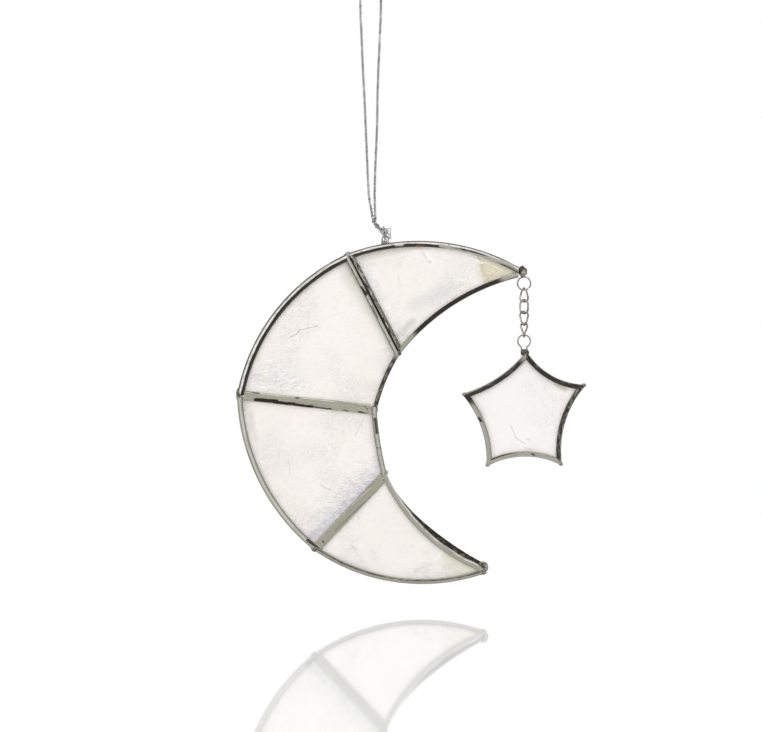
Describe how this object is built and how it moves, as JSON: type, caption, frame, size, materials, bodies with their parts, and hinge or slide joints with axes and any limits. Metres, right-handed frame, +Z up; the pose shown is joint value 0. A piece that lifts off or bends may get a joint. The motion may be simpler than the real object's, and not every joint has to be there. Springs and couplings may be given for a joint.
{
  "type": "hanging crescent moon ornament",
  "caption": "Crescent moon of translucent shell panes in silvery channel strips on a cord loop, with a framed shell star dangling from its upper horn on a short twisted chain.",
  "frame": {"origin": "where the top of the cord's loop bears on its hook, on the underside of the cord", "axes": "+X to the viewer's right towards the star, +Z up, the front faces -Y"},
  "size_m": [0.1224, 0.0034, 0.2131],
  "materials": {
    "strip": "tarnished silver plate",
    "wire": "silver plate",
    "solder": "lumpy bright solder",
    "shell": "pearly, satin",
    "cord": "metallic braid"
  },
  "bodies": {
    "cord": {"hanging_cord": "cord"},
    "neck": {"cord_neck": "cord"},
    "knot": {"cord_knot": "cord", "cord_bight": "cord"},
    "moon": {"hanger_eyelet": "wire", "hanger_solder": "solder", "pane_top_horn": "shell", "pane_upper": "shell", "pane_lower": "shell", "pane_bottom_horn": "shell", "came_top_outer": "strip", "came_top_inner": "strip", "came_top_divider": "strip", "came_upper_outer": "strip", "came_upper_inner": "strip", "came_upper_divider": "strip", "came_middle_divider": "strip", "came_lower_outer": "strip", "came_lower_inner": "strip", "came_slant_divider": "strip", "came_bottom_outer": "strip", "came_bottom_inner": "strip", "solder_outer_top": "solder", "solder_inner_top": "solder", "solder_outer_middle": "solder", "solder_inner_middle": "solder", "solder_outer_slant": "solder", "solder_inner_slant": "solder", "tip_solder_upper": "solder", "tip_solder_lower": "solder", "tip_ring": "wire"},
    "link_1": {"chain_link_1": "wire"},
    "link_2": {"chain_link_2": "wire"},
    "link_3": {"chain_link_3": "wire"},
    "link_4": {"chain_link_4": "wire"},
    "star": {"star_eyelet": "wire", "star_pane": "shell", "star_came_upper_left": "strip", "star_came_left": "strip", "star_came_bottom": "strip", "star_came_right": "strip", "star_came_upper_right": "strip", "star_solder_top": "solder", "star_solder_left": "solder", "star_solder_lower_left": "solder", "star_solder_lower_right": "solder", "star_solder_right": "solder"}
  },
  "joints": [
    {"name": "neck_twist", "type": "hinge", "parent": "cord", "child": "neck", "pos_m": [0.0012, 0, -0.08596], "axis": [0, 0, 1], "range_deg": [-180, 180]},
    {"name": "knot_tilt", "type": "hinge", "parent": "neck", "child": "knot", "pos_m": [0.0012, 0, -0.08801], "axis": [1, 0, 0], "range_deg": [-30, 30]},
    {"name": "moon_swing", "type": "hinge", "parent": "knot", "child": "moon", "pos_m": [0.0051, 0, -0.09097], "axis": [0, 1, 0], "range_deg": [-15, 15]},
    {"name": "link_1_swing", "type": "hinge", "parent": "moon", "child": "link_1", "pos_m": [0.05345, 0, -0.10971], "axis": [1, 0, 0], "range_deg": [-15, 15]},
    {"name": "link_2_swing", "type": "hinge", "parent": "link_1", "child": "link_2", "pos_m": [0.05345, 0, -0.11384], "axis": [0.9848, 0.1736, 0], "range_deg": [-15, 15]},
    {"name": "link_3_swing", "type": "hinge", "parent": "link_2", "child": "link_3", "pos_m": [0.05345, 0, -0.11791], "axis": [0.766, 0.6428, 0], "range_deg": [-15, 15]},
    {"name": "link_4_swing", "type": "hinge", "parent": "link_3", "child": "link_4", "pos_m": [0.05345, 0, -0.12198], "axis": [0.342, 0.9397, 0], "range_deg": [-15, 15]},
    {"name": "star_swing", "type": "hinge", "parent": "link_4", "child": "star", "pos_m": [0.05345, 0, -0.12605], "axis": [-0.1736, 0.9848, 0], "range_deg": [-15, 15]}
  ]
}
